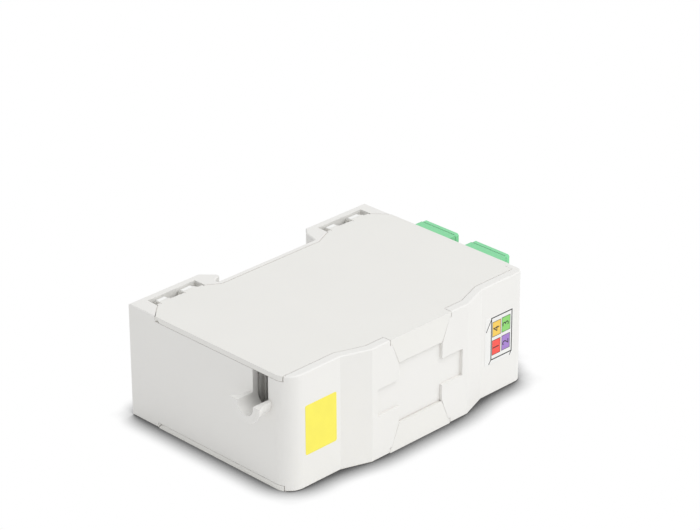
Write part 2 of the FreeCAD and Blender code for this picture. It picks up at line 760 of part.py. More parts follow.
def make_latch():
    """The coloured slider that grips the rail: bevelled tip, spring window and a stepped pull at the end."""
    piece = Piece("din_latch")
    half = "latch_width / 2"
    tip = "latch_root - latch_bite"
    back = "latch_face + latch_plate"
    piece.pad(
        "Slide", "XY", f"mid - {half}", f"mid + {half}",
        loop(
            (tip, "latch_face + 0.5"),
            ("latch_root - latch_bite + 0.6", "latch_face + 0.4"),
            ("latch_root + 0.5", "latch_face + 0.4"),
            ("latch_root + 0.9", "latch_face"),
            ("length + latch_handle", "latch_face"),
            ("length + latch_handle", back),
            (f"{tip} + 2.6", back),
            (tip, "latch_face + 1.1"),
        ),
    )
    stop = "length - stop_distance"
    piece.pocket(
        "SpringWindow", "XZ", "latch_face - 1", f"{back} + 1",
        box(f"{stop} - latch_spring_length", "mid - 1.5", f"{stop} + stop_plate + 0.3", "mid + 1.5"),
    )
    piece.pad(
        "Pull", "YZ", "length - 1.6", "length + latch_handle",
        box(f"{back} - 0.5", f"mid - {half} + 0.8", f"{back} + 0.35", f"mid + {half} - 0.8"),
    )
    return piece


def coil(label, start, turns, length, radius, wire, along, legs):
    """A wound spring as one solid: four-sided wire that follows a helix and its legs, nine steps a turn.

    Legs is a pair of lists: points before the helix, and points after it, in the spring's own axes.
    """
    steps = 9
    spots = list(legs[0])
    for i in range(turns * steps + 1):
        angle = 2 * math.pi * i / steps
        spots.append(V(radius * math.cos(angle), radius * math.sin(angle), length * i / (turns * steps)))
    spots += legs[1]
    rings = []
    across = V(1, 0.3, 0.2)
    for i, spot in enumerate(spots):
        ahead = (spots[min(i + 1, len(spots) - 1)] - spots[max(i - 1, 0)]).normalize()
        across = (across - ahead * across.dot(ahead)).normalize()
        over = ahead.cross(across)
        rings.append([spot + (across * a + over * b) * (wire / 2) for a, b in ((1, 0), (0, 1), (-1, 0), (0, -1))])
    faces = []
    for one, two in zip(rings, rings[1:]):
        for k in range(4):
            after = (k + 1) % 4
            faces.append((one[k], one[after], two[after]))
            faces.append((one[k], two[after], two[k]))
    faces.append(tuple(reversed(rings[0])))
    faces.append(tuple(rings[-1]))
    shell = Part.Shell([Part.Face(Part.makePolygon(list(face) + [face[0]])) for face in faces])
    spring = Part.Solid(shell)
    spring.fixTolerance(1e-6)
    thing = doc.addObject("Part::Feature", label)
    thing.Label = label
    thing.Shape = spring
    origin = V(value("origin_x"), value("origin_y"), 0)
    thing.Placement = FreeCAD.Placement(start - origin, FreeCAD.Rotation(V(0, 0, 1), along))
    pieces.append(thing)


def make_latch_spring():
    """The small steel spring that pushes the slider towards the rail."""
    stop = value("length - stop_distance")
    start = V(stop - value("latch_spring_length") + 0.2, value("latch_face + latch_plate / 2"), value("mid"))
    run = value("latch_spring_length") - 0.4
    coil("latch_spring", start, 7, run, value("latch_spring_radius"), value("latch_wire"), V(1, 0, 0), ([], []))


class Port:
    """Where one adapter stands: its column along the end wall, its side of the floor, and the way up from it."""

    def __init__(self, number, column, side):
        self.number = number
        self.middle = f"(column_first + {column} * column_pitch)"
        self.sign = "+" if side == "upper" else "-"

    def up(self, rise):
        return f"mid {self.sign} ({rise})"

    def across(self, half, low, high):
        """A box across the end wall: a half width, and two heights from the middle plane."""
        return box(f"{self.middle} - ({half})", self.up(low), f"{self.middle} + {half}", self.up(high))

    def ring(self, radius):
        return fine_ring(self.middle, self.up("port_rise"), radius)

    def hinge(self, radius):
        return fine_ring("shutter_axis", self.up("shutter_line"), radius)


def make_adapter(port):
    """The moulded adapter: a tube with a plug opening at each end, a collar, a neck and a retaining flange."""
    piece = Piece(f"adapter_body_{port.number}")
    inner = "length - port_wall - neck_play"
    face = "length + collar_reach"
    piece.pad(
        "Tube", "YZ", "adapter_mid - adapter_half", inner,
        port.across("adapter_width / 2", "port_rise - adapter_height / 2", "port_rise + adapter_height / 2"),
    )
    piece.pad(
        "Flange", "YZ", f"{inner} - flange_plate", inner,
        port.across("flange_width / 2", "collar_low + 0.6", "collar_high - 0.1"),
    )
    piece.pad(
        "Neck", "YZ", inner, "length + neck_play",
        port.across("adapter_width / 2 - neck_step", "collar_low", "collar_high"),
    )
    piece.pad("Collar", "YZ", "length + neck_play", face, port.across("collar_width / 2", "collar_low", "collar_high"))
    half = "port_height / 2"
    piece.pocket(
        "Opening", "YZ", "adapter_mid - adapter_half - 1", f"{face} + 1",
        port.across("port_width / 2", f"port_rise - {half}", f"port_rise + {half}"),
    )
    piece.pocket(
        "Keyway", "YZ", "adapter_mid - adapter_half - 1", f"{face} + 1",
        port.across("key_width / 2", f"port_rise - {half} - key_depth", "port_rise"),
    )
    piece.pocket(
        "LeadIn", "YZ", f"{face} - port_lead", f"{face} + 1",
        port.across(
            "port_width / 2 + port_lead",
            f"port_rise - {half} - port_lead", f"port_rise + {half} + port_lead",
        ),
    )
    piece.pocket(
        "SpringRecess", "YZ", "shutter_axis - recess_back", f"{face} + 1",
        port.across("recess_half", "collar_low - 1", "shutter_line + recess_rise"),
    )
    piece.pocket(
        "EarRelief", "XZ", f"{port.middle} - collar_width", f"{port.middle} + collar_width",
        loop(
            (f"{face} - ear_relief", port.up("collar_low - 0.2")),
            (f"{face} + 0.2", port.up("collar_low - 0.2")),
            (f"{face} + 0.2", port.up("shutter_line - 0.3")),
            (face, port.up("shutter_line - 0.3")),
        ),
    )
    piece.pocket(
        "PinHoles", "XZ", f"{port.middle} - collar_width", f"{port.middle} + collar_width",
        port.hinge("shutter_pin + pin_hole_play"),
    )


def make_catches(port, end):
    """One half of the insert in an adapter: plate, sleeve holder and two barbed plug catches."""
    piece = Piece(f"adapter_{end}_catch_{port.number}")

    def span(near, far):
        if end == "front":
            return f"adapter_mid + {near}", f"adapter_mid + {far}"
        return f"adapter_mid - ({far})", f"adapter_mid - ({near})"

    low, high = span("0", "catch_plate")
    half = "(port_height / 2 - 0.05)"
    piece.pad("Plate", "YZ", low, high, port.across("port_width / 2 - 0.05", f"port_rise - {half}", f"port_rise + {half}"))
    low, high = span("0", "holder_length")
    piece.pad("Holder", "YZ", low, high, port.ring("holder_outer"))
    rise = ("port_rise - catch_height / 2", "port_rise + catch_height / 2")
    arms = []
    barbs = []
    for way in ("-", "+"):
        line = f"{port.middle} {way} catch_line"
        arms.append(box(f"{line} - catch_arm / 2", port.up(rise[0]), f"{line} + catch_arm / 2", port.up(rise[1])))
        back = "+" if way == "-" else "-"
        tip = f"{line} {back} (catch_arm / 2 + catch_barb)"
        barbs.append(box(f"{line} {back} catch_arm / 4", port.up(rise[0]), tip, port.up(rise[1])))
    low, high = span("0", "catch_length")
    piece.pad("Arms", "YZ", low, high, *arms)
    low, high = span("catch_length - 1.1", "catch_length")
    piece.pad("Barbs", "YZ", low, high, *barbs)
    low, high = span("-1", "sleeve_half + 0.15")
    piece.pocket("SleeveBore", "YZ", low, high, port.ring("sleeve_outer + holder_play"))
    low, high = span("0", "holder_length + 1")
    piece.pocket("FerruleHole", "YZ", low, high, port.ring("sleeve_bore + 0.15"))


def make_sleeve(port):
    """The slit ceramic sleeve that lines up two ferrules."""
    piece = Piece(f"ferrule_sleeve_{port.number}")
    low = "adapter_mid - sleeve_half"
    high = "adapter_mid + sleeve_half"
    piece.pad("Tube", "YZ", low, high, port.ring("sleeve_outer"), port.ring("sleeve_bore"))
    piece.pocket(
        "Slit", "YZ", f"{low} - 1", f"{high} + 1",
        port.across("sleeve_slit / 2", "port_rise + sleeve_bore / 2", "port_rise + 2 * sleeve_outer"),
    )


def make_shutter(port):
    """The sprung shutter: a plate with a dust pad and two lugs on the hinge pin, and the pin itself."""
    piece = Piece(f"shutter_{port.number}")
    back = "shutter_face - shutter_plate"
    piece.pad(
        "Plate", "YZ", back, "shutter_face",
        port.across("collar_width / 2", "shutter_line - shutter_tail", "shutter_line + shutter_rise"),
    )
    corners = value("collar_width / 2")
    middle = value(port.middle)

    def corner(edge):
        box = edge.BoundBox
        return box.XLength > 1 and abs(abs(box.YMin - middle) - corners) < 0.01

    piece.dress("PartDesign::Chamfer", "Corners", "shutter_corner", corner)
    half = "port_height / 2 - 0.3"
    piece.pad(
        "DustPad", "YZ", f"{back} - shutter_pad", f"{back} + 0.1",
        port.across("port_width / 2 - 0.3", f"port_rise - ({half})", f"port_rise + {half}"),
    )
    for name, way in (("NearLug", "-"), ("FarLug", "+")):
        outer = f"{port.middle} {way} (recess_half - 0.2)"
        inner = f"{port.middle} {way} (recess_half - 0.2 - shutter_lug)"
        low, high = (outer, inner) if way == "-" else (inner, outer)
        piece.pad(name + "Eye", "XZ", low, high, port.hinge("shutter_lug"))
        piece.pad(
            name + "Root", "XZ", low, high,
            box("shutter_axis", port.up("shutter_line - shutter_tail"), f"{back} + 0.2", port.up("shutter_line + shutter_lug")),
        )
        piece.pocket(name + "Bore", "XZ", low, high, port.hinge("shutter_pin + pin_play"))
    pin = Piece(f"shutter_pin_{port.number}")
    pin.pad(
        "Rod", "XZ", f"{port.middle} - collar_width / 2 + 0.2", f"{port.middle} + collar_width / 2 - 0.2",
        port.hinge("shutter_pin"),
    )
    edge = "shutter_line - shutter_tail + label_margin" if port.sign == "+" else "shutter_line + shutter_rise - label_margin"
    sticker(
        f"shutter_label_{port.number}",
        ("shutter_face", f"{port.middle} - collar_width / 2 + label_inset", port.up(edge)),
        ("label_plate", "collar_width - 2 * label_inset", "shutter_tail + shutter_rise - 2 * label_margin"),
    )


def make_shutter_spring(port):
    """The torsion spring round the hinge pin: a long bent leg in the adapter's recess, and a short one that
    presses on the shutter's tail.
    """
    radius = value("spring_radius")
    run = 2 * value("spring_half")
    corner = V(radius + 0.25, 0.4 - value("recess_rise"), 0)
    legs = ([corner + V(0, 0, run + 1.3), corner], [V(radius + 0.15, 0.55, run)])
    way = 1 if port.sign == "+" else -1
    start = V(value("shutter_axis"), value(port.middle) - way * run / 2, value(port.up("shutter_line")))
    coil(f"shutter_spring_{port.number}", start, 6, run, radius, value("spring_wire"), V(0, way, 0), legs)


def make_tray(side):
    """A fibre tray that lies on the floor: a plate with a winding core in four quarters and a low fence."""
    piece = Piece(side + "_fibre_tray")
    low, high = below(side, "tray_floor", "bay_floor")
    end = "tray_start + tray_length"
    piece.pad(
        "Plate", "XY", low, high,
        loop(
            ("tray_start", "tray_front + 4"),
            ("tray_start + 4", "tray_front"),
            (f"{end} - 4", "tray_front"),
            (end, "tray_front + 4"),
            (end, "tray_back - 4"),
            (f"{end} - 4", "tray_back"),
            ("tray_start + 4", "tray_back"),
            ("tray_start", "tray_back - 4"),
        ),
    )
    piece.pocket("PassHole", "XY", f"({low}) - 1", f"({high}) + 1", circle("core_x", "core_y", "pass_radius"))
    low, high = below(side, "tray_floor - core_rise", "tray_floor + 0.3")
    gap = "core_gap / 2"
    inner = "(core_radius - core_wall)"
    far = f"sqrt(core_radius ^ 2 - ({gap}) ^ 2)"
    near = f"sqrt({inner} ^ 2 - ({gap}) ^ 2)"
    wall = piece.pad(
        "CoreWall", "XY", low, high,
        loop(
            (far, gap, "core_radius"),
            (gap, far),
            (gap, near, inner, -1),
            (near, gap),
        ),
    )
    centre_on_core(wall.Profile[0])
    low, high = below(side, "tray_floor - core_rise", "tray_floor - core_rise + core_tab_plate")
    slant = math.sqrt(0.5)
    root = f"{inner} * {slant:.4f}"
    tip = f"(core_radius + core_tab) * {slant:.4f}"
    tab = piece.pad(
        "CoreTab", "XY", low, high,
        loop(
            (f"{root} + 1.6", f"{root} - 1.6"),
            (f"{tip} + 1.6", f"{tip} - 1.6"),
            (f"{tip} - 1.6", f"{tip} + 1.6"),
            (f"{root} - 1.6", f"{root} + 1.6"),
        ),
    )
    centre_on_core(tab.Profile[0])
    ring = piece.body.newObject("PartDesign::PolarPattern", "CoreQuarters")
    ring.Originals = [wall, tab]
    ring.Axis = (wall.Profile[0], ["N_Axis"])
    ring.Angle = 360
    ring.Occurrences = 4
    piece.body.Tip = ring
    low, high = below(side, "tray_floor - 4", "tray_floor + 0.3")
    piece.pad(
        "Fence", "XY", low, high,
        box("tray_start", "tray_front + 14", "tray_start + 1", "tray_back - 14"),
        box(f"{end} - 14", "tray_front", f"{end} - 6", "tray_front + 1"),
        box("tray_start + 6", "tray_front", "tray_start + 14", "tray_front + 1"),
    )


def centre_on_core(sketch):
    """Moves a sketch's own origin to the middle of the winding core."""
    sketch.setExpression("AttachmentOffset.Base.x", "Sizes.core_x")
    sketch.setExpression("AttachmentOffset.Base.y", "Sizes.core_y")


def make_splice_holder(side):
    """A comb that grips the splice protectors: a base with two rows of fingers and small lips."""
    piece = Piece(side + "_splice_holder")
    low, high = below(side, "tray_floor - holder_base", "tray_floor")
    width = "4 * splice_pitch + holder_wall"
    piece.pad("Base", "XY", low, high, box("holder_start", "holder_front", "holder_start + holder_span", f"holder_front + {width}"))
    rows = (("holder_start", "holder_start + 8"), ("holder_start + holder_span - 8", "holder_start + holder_span"))
    fingers = []
    lips = []
    for start, end in rows:
        for i in range(5):
            line = f"holder_front + {i} * splice_pitch"
            fingers.append(box(start, line, end, f"{line} + holder_wall"))
            lips.append(box(f"{start} + 2.5", f"{line} - 0.3", f"{start} + 5.5", f"{line} + holder_wall + 0.3"))
    low, high = below(side, "tray_floor - holder_base - splice_rise", "tray_floor - holder_base + 0.3")
    piece.pad("Fingers", "XY", low, high, *fingers)
    low, high = below(side, "tray_floor - holder_base - splice_rise", "tray_floor - holder_base - splice_rise + 0.8")
    piece.pad("Lips", "XY", low, high, *lips)


def make_labels():
    """The two printed labels on the front flats."""
    sticker("front_label", ("5.9", "-label_plate", "mid - 7.4"), ("11.4", "label_plate", "14.7"))
    sticker("port_legend_label", ("length - 15.6", "-label_plate", "mid - 7.5"), ("11.4", "label_plate", "14.7"))


def sticker(label, corner, spans):
    """A thin flat label as a box bound to the sheet."""
    thing = doc.addObject("Part::Box", label)
    thing.Label = label
    for name, text in zip(("Length", "Width", "Height"), spans):
        thing.setExpression(name, bind(text))
    for name, text, origin in zip("xyz", corner, ("origin_x", "origin_y", "0")):
        thing.setExpression("Placement.Base." + name, bind(f"{text} - {origin}"))
    pieces.append(thing)


make_housing()
for side in SIDES:
    make_cover(side)
    make_tray(side)
    make_splice_holder(side)
make_latch()
make_latch_spring()
for place_of_port in ((1, 0, "lower"), (2, 1, "lower"), (3, 1, "upper"), (4, 0, "upper")):
    port = Port(*place_of_port)
    make_adapter(port)
    make_catches(port, "front")
    make_catches(port, "rear")
    make_sleeve(port)
    make_shutter(port)
    make_shutter_spring(port)
make_labels()

doc.recompute()
os.makedirs("parts", exist_ok=True)
for thing in doc.Objects:
    if {"Invalid", "Error"} & set(thing.State):
        raise RuntimeError(f"{thing.Label} failed: {thing.State}")
for thing in pieces:
    if thing.Shape.isNull() or not thing.Shape.isValid():
        raise RuntimeError(f"{thing.Label} has no valid shape")
for thing in pieces:
    thing.Shape.exportStep(os.path.join("parts", thing.Label + ".step"))
    print(thing.Label, len(thing.Shape.Solids), round(thing.Shape.Volume, 1))
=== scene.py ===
"""A DIN rail fibre box, dressed for a studio picture: moulded plastic, green adapters, springs and labels.

The sizes of pieces are in millimetres. Those of finishes, the studio and the camera are in metres.
"""

import math

import bmesh
import bpy
from mathutils import Matrix, Vector


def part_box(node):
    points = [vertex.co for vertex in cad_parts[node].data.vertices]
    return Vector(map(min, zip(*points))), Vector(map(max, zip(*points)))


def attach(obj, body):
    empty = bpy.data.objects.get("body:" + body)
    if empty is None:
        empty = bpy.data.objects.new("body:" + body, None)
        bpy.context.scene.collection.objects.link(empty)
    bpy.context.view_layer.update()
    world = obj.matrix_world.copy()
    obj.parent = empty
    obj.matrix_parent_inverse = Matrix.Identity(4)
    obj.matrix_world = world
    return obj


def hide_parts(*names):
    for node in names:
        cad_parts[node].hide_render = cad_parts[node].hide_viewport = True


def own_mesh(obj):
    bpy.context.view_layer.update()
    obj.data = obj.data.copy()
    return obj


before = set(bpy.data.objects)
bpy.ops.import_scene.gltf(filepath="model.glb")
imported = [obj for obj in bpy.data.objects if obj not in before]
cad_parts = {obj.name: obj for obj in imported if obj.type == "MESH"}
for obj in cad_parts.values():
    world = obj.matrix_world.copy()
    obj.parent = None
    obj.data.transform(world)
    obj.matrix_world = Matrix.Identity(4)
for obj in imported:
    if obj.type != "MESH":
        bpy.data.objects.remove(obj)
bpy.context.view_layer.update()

# The housing frame: light grey ABS, injection moulded in one piece with the four walls, the floor between
# the two fibre bays, the cable trough and the feet. Its tool was spark eroded, which leaves a fine matt
# grain, and every edge has a small moulded radius.
TROUGH_END = Vector((-5.5, -3.1, 0.0))
PLASTIC_PATCHES = 55.0
box_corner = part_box("housing_frame")[0]


def at(x, y, z):
    """A place in the housing's own millimetres, as metres in the scene."""
    return box_corner + (Vector((x, y, z)) - TROUGH_END) / 1000


def paint(red, green, blue):
    """A colour as a screen shows it, from 0 to 255, turned to the light it reflects."""
    parts = [c / 255 for c in (red, green, blue)]
    return [c / 12.92 if c < 0.04045 else ((c + 0.055) / 1.055) ** 2.4 for c in parts] + [1.0]


def tinted(colour, share, lift=0.0):
    """A colour with its three parts scaled and lifted, and kept from going past white."""
    return [min(1.0, c * share + lift) for c in colour[:3]] + [1.0]


def shader_group(name, inputs, outputs):
    """An empty shader group with named sockets, and its input and output nodes."""
    group = bpy.data.node_groups.new(name, "ShaderNodeTree")
    kinds = {"float": "NodeSocketFloat", "vector": "NodeSocketVector"}
    for label, kind in inputs:
        group.interface.new_socket(name=label, in_out="INPUT", socket_type=kinds[kind])
    for label, kind in outputs:
        group.interface.new_socket(name=label, in_out="OUTPUT", socket_type=kinds[kind])
    return group, group.nodes.new("NodeGroupInput"), group.nodes.new("NodeGroupOutput")


def put(tree, kind, links=None, **settings):
    """A node with its settings made, and its sockets linked from others or set to a value."""
    node = tree.nodes.new(kind)
    for name, setting in settings.items():
        setattr(node, name, setting)
    for socket, source in (links or {}).items():
        if isinstance(source, bpy.types.NodeSocket):
            tree.links.new(source, node.inputs[socket])
        else:
            node.inputs[socket].default_value = source
    return node


def moulded_grain():
    """Spark-eroded mould grain: a height for the bump, and a mask of its slow change over the surface."""
    group, given, made = shader_group(
        "moulded grain",
        [("Grains per metre", "float"), ("Patches per metre", "float")],
        [("Height", "float"), ("Patches", "float")],
    )
    place = put(group, "ShaderNodeTexCoord").outputs["Object"]
    for scale, detail, rough, output in (
        ("Grains per metre", 3.0, 0.6, "Height"),
        ("Patches per metre", 2.0, 0.5, "Patches"),
    ):
        noise = put(
            group, "ShaderNodeTexNoise",
            {"Vector": place, "Scale": given.outputs[scale], "Detail": detail, "Roughness": rough},
        )
        group.links.new(noise.outputs["Fac"], made.inputs[output])
    return group


def soft_edges():
    """Small moulded radii: a normal that rounds sharp edges, and a mask that is 1 along them."""
    group, given, made = shader_group(
        "soft edges", [("Radius", "float")], [("Normal", "vector"), ("Edge", "float")]
    )
    rounded = put(group, "ShaderNodeBevel", {"Radius": given.outputs["Radius"]}, samples=6)
    flat = put(group, "ShaderNodeNewGeometry").outputs["Normal"]
    facing = put(group, "ShaderNodeVectorMath", {0: rounded.outputs[0], 1: flat}, operation="DOT_PRODUCT")
    edge = put(
        group, "ShaderNodeMapRange",
        {"Value": facing.outputs["Value"], "From Min": 1.0, "From Max": 0.8, "To Min": 0.0, "To Max": 1.0},
    )
    group.links.new(rounded.outputs[0], made.inputs["Normal"])
    group.links.new(edge.outputs["Result"], made.inputs["Edge"])
    return group


def painted_joint_shade():
    """Painted shade in narrow joints, recesses and inner corners, from ambient occlusion: a mask that is 1
    deep in them.
    """
    group, given, made = shader_group("joint shade", [("Reach", "float")], [("Shade", "float")])
    open_sky = put(group, "ShaderNodeAmbientOcclusion", {"Distance": given.outputs["Reach"]}, samples=8)
    shade = put(
        group, "ShaderNodeMapRange",
        {"Value": open_sky.outputs["AO"], "From Min": 0.75, "From Max": 0.1, "To Min": 0.0, "To Max": 1.0},
    )
    group.links.new(shade.outputs["Result"], made.inputs["Shade"])
    return group


GRAIN = moulded_grain()
EDGES = soft_edges()
PAINTED_SHADE = painted_joint_shade()


def mix(tree, mask, low, high):
    """A colour between two, by a mask. The mix node's sockets 0, 6 and 7 are its mask and its two colours."""
    return put(tree, "ShaderNodeMix", {0: mask, 6: low, 7: high}, data_type="RGBA").outputs[2]


def span(tree, mask, low, high):
    """A number that goes from low to high with a mask."""
    return put(tree, "ShaderNodeMapRange", {"Value": mask, "To Min": low, "To Max": high}).outputs["Result"]


def new_finish(name, grains, patches):
    """A new material with the shared grain placed in it, and the grain's node."""
    material = bpy.data.materials.new(name)
    material.use_nodes = True
    skin = put(
        material.node_tree, "ShaderNodeGroup",
        {"Grains per metre": grains, "Patches per metre": patches}, node_tree=GRAIN,
    )
    return material, skin


def join_finish(material, skin, body, gloss, strength, depth, rounded=None):
    """Joins a colour, a range of roughness and the grain's relief to a material's shader, and returns it."""
    tree = material.node_tree
    bsdf = tree.nodes["Principled BSDF"]
    tree.links.new(body, bsdf.inputs["Base Color"])
    tree.links.new(span(tree, skin.outputs["Patches"], *gloss), bsdf.inputs["Roughness"])
    relief = {"Height": skin.outputs["Height"], "Strength": strength, "Distance": depth}
    if rounded is not None:
        relief["Normal"] = rounded
    bump = put(tree, "ShaderNodeBump", relief)
    tree.links.new(bump.outputs["Normal"], bsdf.inputs["Normal"])
    return bsdf


def moulded_plastic(
    name, colour, edge_wear_and_highlight, painted_shade_colour, roughness,
    grain=7000.0, depth=0.000012, radius=0.00022, reach=0.0012, sheen=0.06,
):
    """An injection-moulded plastic: grain, slow patches in colour and gloss, soft edges made lighter by wear
    and a painted highlight, and painted shade in its joints.
    """
    material, skin = new_finish(name, grain, PLASTIC_PATCHES)
    tree = material.node_tree
    edges = put(tree, "ShaderNodeGroup", {"Radius": radius}, node_tree=EDGES)
    joints = put(tree, "ShaderNodeGroup", {"Reach": reach}, node_tree=PAINTED_SHADE)
    body = mix(tree, skin.outputs["Patches"], tinted(colour, share=0.965), colour)
    # Lighter edges: partly wear, partly a painted highlight where the rounded edges catch light.
    body = mix(tree, edges.outputs["Edge"], body, edge_wear_and_highlight)
    # Painted shade: a darker colour in joints, recesses and inner corners, where the ambient occlusion mask is
    # high.
    body = mix(tree, joints.outputs["Shade"], body, painted_shade_colour)
    gloss = (roughness - sheen, roughness + sheen)
    rounded = edges.outputs["Normal"]
    bsdf = join_finish(material, skin, body, gloss, strength=0.5, depth=depth, rounded=rounded)
    bsdf.inputs["IOR"].default_value = 1.5
    return material


def finish(material, *names):
    """Gives CAD nodes their material."""
    for name in names:
        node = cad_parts[name]
        if not node.material_slots:
            node.data.materials.append(material)
        for held in node.material_slots:
            held.material = material


# Its colours: its own tone, lighter edges for wear and a painted highlight, and a warm painted shade in its
# joints and wells.
housing_plastic = moulded_plastic(
    "housing plastic", paint(239, 238, 235), paint(245, 245, 242), paint(229, 222, 216), 0.46,
    radius=0.00012, reach=0.0005,
)
finish(housing_plastic, "housing_frame")


# The cable trough widens to a bell mouth at its free end, so that the cable's sheath bends over no sharp
# edge. The lip is moulded in one piece with the housing and flares most at its two open sides.
def new_piece(name, vertices, faces, material, smooth=False):
    """A mesh object from points and faces, with its faces turned outward and its material."""
    mesh = bpy.data.meshes.new(name)
    mesh.from_pydata([tuple(v) for v in vertices], [], faces)
    mesh.validate()
    shell = bmesh.new()
    shell.from_mesh(mesh)
    bmesh.ops.recalc_face_normals(shell, faces=shell.faces)
    shell.to_mesh(mesh)
    shell.free()
    for face in mesh.polygons:
        face.use_smooth = smooth
    mesh.materials.append(material)
    thing = bpy.data.objects.new(name, mesh)
    bpy.context.scene.collection.objects.link(thing)
    return thing


def lofted(rings, count, first=0):
    """The faces of a closed skin over rings of points, each with the same count, from a first point on."""
    faces = []
    for ring in range(rings - 1):
        low = first + ring * count
        for k in range(count):
            after = (k + 1) % count
            faces.append((low + k, low + after, low + count + after, low + count + k))
    top = first + (rings - 1) * count
    faces.append(tuple(reversed(range(first, first + count))))
    faces.append(tuple(range(top, top + count)))
    return faces


TROUGH_MIDDLE = (10.4, 24.9)
MOUTH_BORE = 3.3
MOUTH_ROOT = -1.2
MOUTH_LENGTH = 4.2
MOUTH_STEPS = 12
MOUTH = ((3.3, -5.42), (4.85, -5.46), (5.0, -5.2), (4.55, -4.2), (4.15, -2.8), (3.98, -1.2), (3.3, -1.2))
stations = [(1.0, 0.0, 0.66, 1.55), (1.0, 0.0, 0.3, 1.35)]
for i in range(MOUTH_STEPS + 1):
    turn = math.pi * i / MOUTH_STEPS
    stations.append((math.cos(turn), -math.sin(turn), 0.0, 1.0 + 0.2 * math.cos(turn) ** 4))
stations += [(-1.0, 0.0, 0.3, 1.1), (-1.0, 0.0, 0.66, 1.2)]
vertices = []
for across, drop, lift, flare in stations:
    for reach, along in MOUTH:
        wide = 1.0 + (flare - 1.0) * (MOUTH_ROOT - along) / MOUTH_LENGTH
        out = MOUTH_BORE + (reach - MOUTH_BORE) * wide
        vertices.append(at(along, TROUGH_MIDDLE[0] + out * across, TROUGH_MIDDLE[1] + out * drop + lift))
mouth = new_piece("trough_bell_mouth", vertices, lofted(len(stations), len(MOUTH)), housing_plastic)
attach(mouth, "housing")

# The two fibre trays: natural white ABS, thinner than the housing, dropped on the floor of each bay. Their
# winding core and corner tabs hold the fibre's loops, and round ejector marks show where the tool let go.
tray_plastic = moulded_plastic(
    "tray plastic", paint(233, 234, 233), paint(244, 244, 244), paint(196, 196, 194), 0.38, grain=5200.0
)
finish(tray_plastic, "upper_fibre_tray", "lower_fibre_tray")


def round_discs(spots, radius, height, up, sides=24):
    """Low round discs on a plane, each with a narrow bevel, as points and faces."""
    bevel = height * 0.6
    vertices, faces = [], []
    for spot in spots:
        faces += lofted(3, sides, len(vertices))
        for reach, rise in ((radius, 0.0), (radius, bevel), (radius - bevel, height)):
            for i in range(sides):
                turn = 2 * math.pi * i / sides
                side = Vector((reach * math.cos(turn), reach * math.sin(turn), rise * up))
                vertices.append(spot + side / 1000)
    return vertices, faces


MIDDLE = 17.0
TRAY_FLOOR = 1.8
MARK_ROOT = 0.01
EJECTOR_SPOTS = ((19.5, 12.0), (56.0, 12.0), (19.5, 36.0), (56.0, 44.0))
for side, up in (("upper", 1), ("lower", -1)):
    spots = [at(x, y, MIDDLE + up * (TRAY_FLOOR - MARK_ROOT)) for x, y in EJECTOR_SPOTS]
    vertices, faces = round_discs(spots, radius=1.6, height=0.12, up=up)
    marks = new_piece(f"{side}_tray_ejector_marks", vertices, faces, tray_plastic)
    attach(marks, "housing")

# The splice holders: the same white ABS from a finer tool, one fixed on each tray. Two rows of fingers spring
# apart to grip the splice protectors.
splice_plastic = moulded_plastic(
    "splice holder plastic", paint(238, 239, 240), paint(248, 248, 248), paint(200, 200, 200), 0.34,
    grain=6000.0, radius=0.00015,
)
finish(splice_plastic, "upper_splice_holder", "lower_splice_holder")

# The rail latch: blue glass-filled polyamide, a flat slider in the second foot, slightly mottled where the
# fibres reach the surface. Its lighter edges are partly polish where it rubs on the rail and partly a painted
# highlight, and a dark blue shade is painted in its joints.
latch_plastic = moulded_plastic(
    "latch plastic", paint(52, 120, 208), paint(96, 156, 232), paint(20, 58, 120), 0.40,
    grain=4200.0, radius=0.0003, sheen=0.08,
)
finish(latch_plastic, "din_latch")


# The latch spring: bright spring-steel wire in open turns, in the slider's window. It presses on a stop of
# the housing, and the slider squeezes it when it is pulled.
def drawn_steel(name, colour, roughness):
    """Steel wire: the fine grain that drawing leaves, and small changes in colour and gloss."""
    material, skin = new_finish(name, grains=9000.0, patches=700.0)
    body = mix(material.node_tree, skin.outputs["Patches"], tinted(colour, share=0.8), colour)
    gloss = (roughness - 0.07, roughness + 0.1)
    bsdf = join_finish(material, skin, body, gloss, strength=0.3, depth=0.000006)
    bsdf.inputs["Metallic"].default_value = 1.0
    return material


def wire(spots, radius, sides=8):
    """Round wire along a line of points, as points and faces, with its ends closed."""
    vertices = []
    across = Vector((0.31, 0.17, 0.93))
    for i, spot in enumerate(spots):
        ahead = (spots[min(i + 1, len(spots) - 1)] - spots[max(i - 1, 0)]).normalized()
        across = (across - ahead * across.dot(ahead)).normalized()
        over = ahead.cross(across)
        for k in range(sides):
            turn = 2 * math.pi * k / sides
            vertices.append(spot + (across * math.cos(turn) + over * math.sin(turn)) * radius / 1000)
    return vertices, lofted(len(spots), sides)


spring_steel = drawn_steel("spring steel", paint(196, 196, 194), 0.27)
LATCH_SPRING_START = 72.25
LATCH_SPRING_END = 80.85
LATCH_SPRING_DEPTH = 56.5
LATCH_COIL = 0.9
LATCH_WIRE = 0.15
LATCH_TURNS = 8
LATCH_STEPS = 20
CLOSED_ENDS = 0.25
spots = []
for i in range(LATCH_TURNS * LATCH_STEPS + 1):
    share = i / (LATCH_TURNS * LATCH_STEPS)
    turn = 2 * math.pi * LATCH_TURNS * share
    closed = 0.5 - 0.5 * math.cos(math.pi * share)
    pitch = (1 - CLOSED_ENDS) * share + CLOSED_ENDS * closed
    spots.append(
        at(
            LATCH_SPRING_START + (LATCH_SPRING_END - LATCH_SPRING_START) * pitch,
            LATCH_SPRING_DEPTH + LATCH_COIL * math.cos(turn),
            MIDDLE + LATCH_COIL * math.sin(turn),
        )
    )
vertices, faces = wire(spots, LATCH_WIRE)
latch_spring = new_piece("latch_spring_coil", vertices, faces, spring_steel, smooth=True)
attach(latch_spring, "housing")
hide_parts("latch_spring")
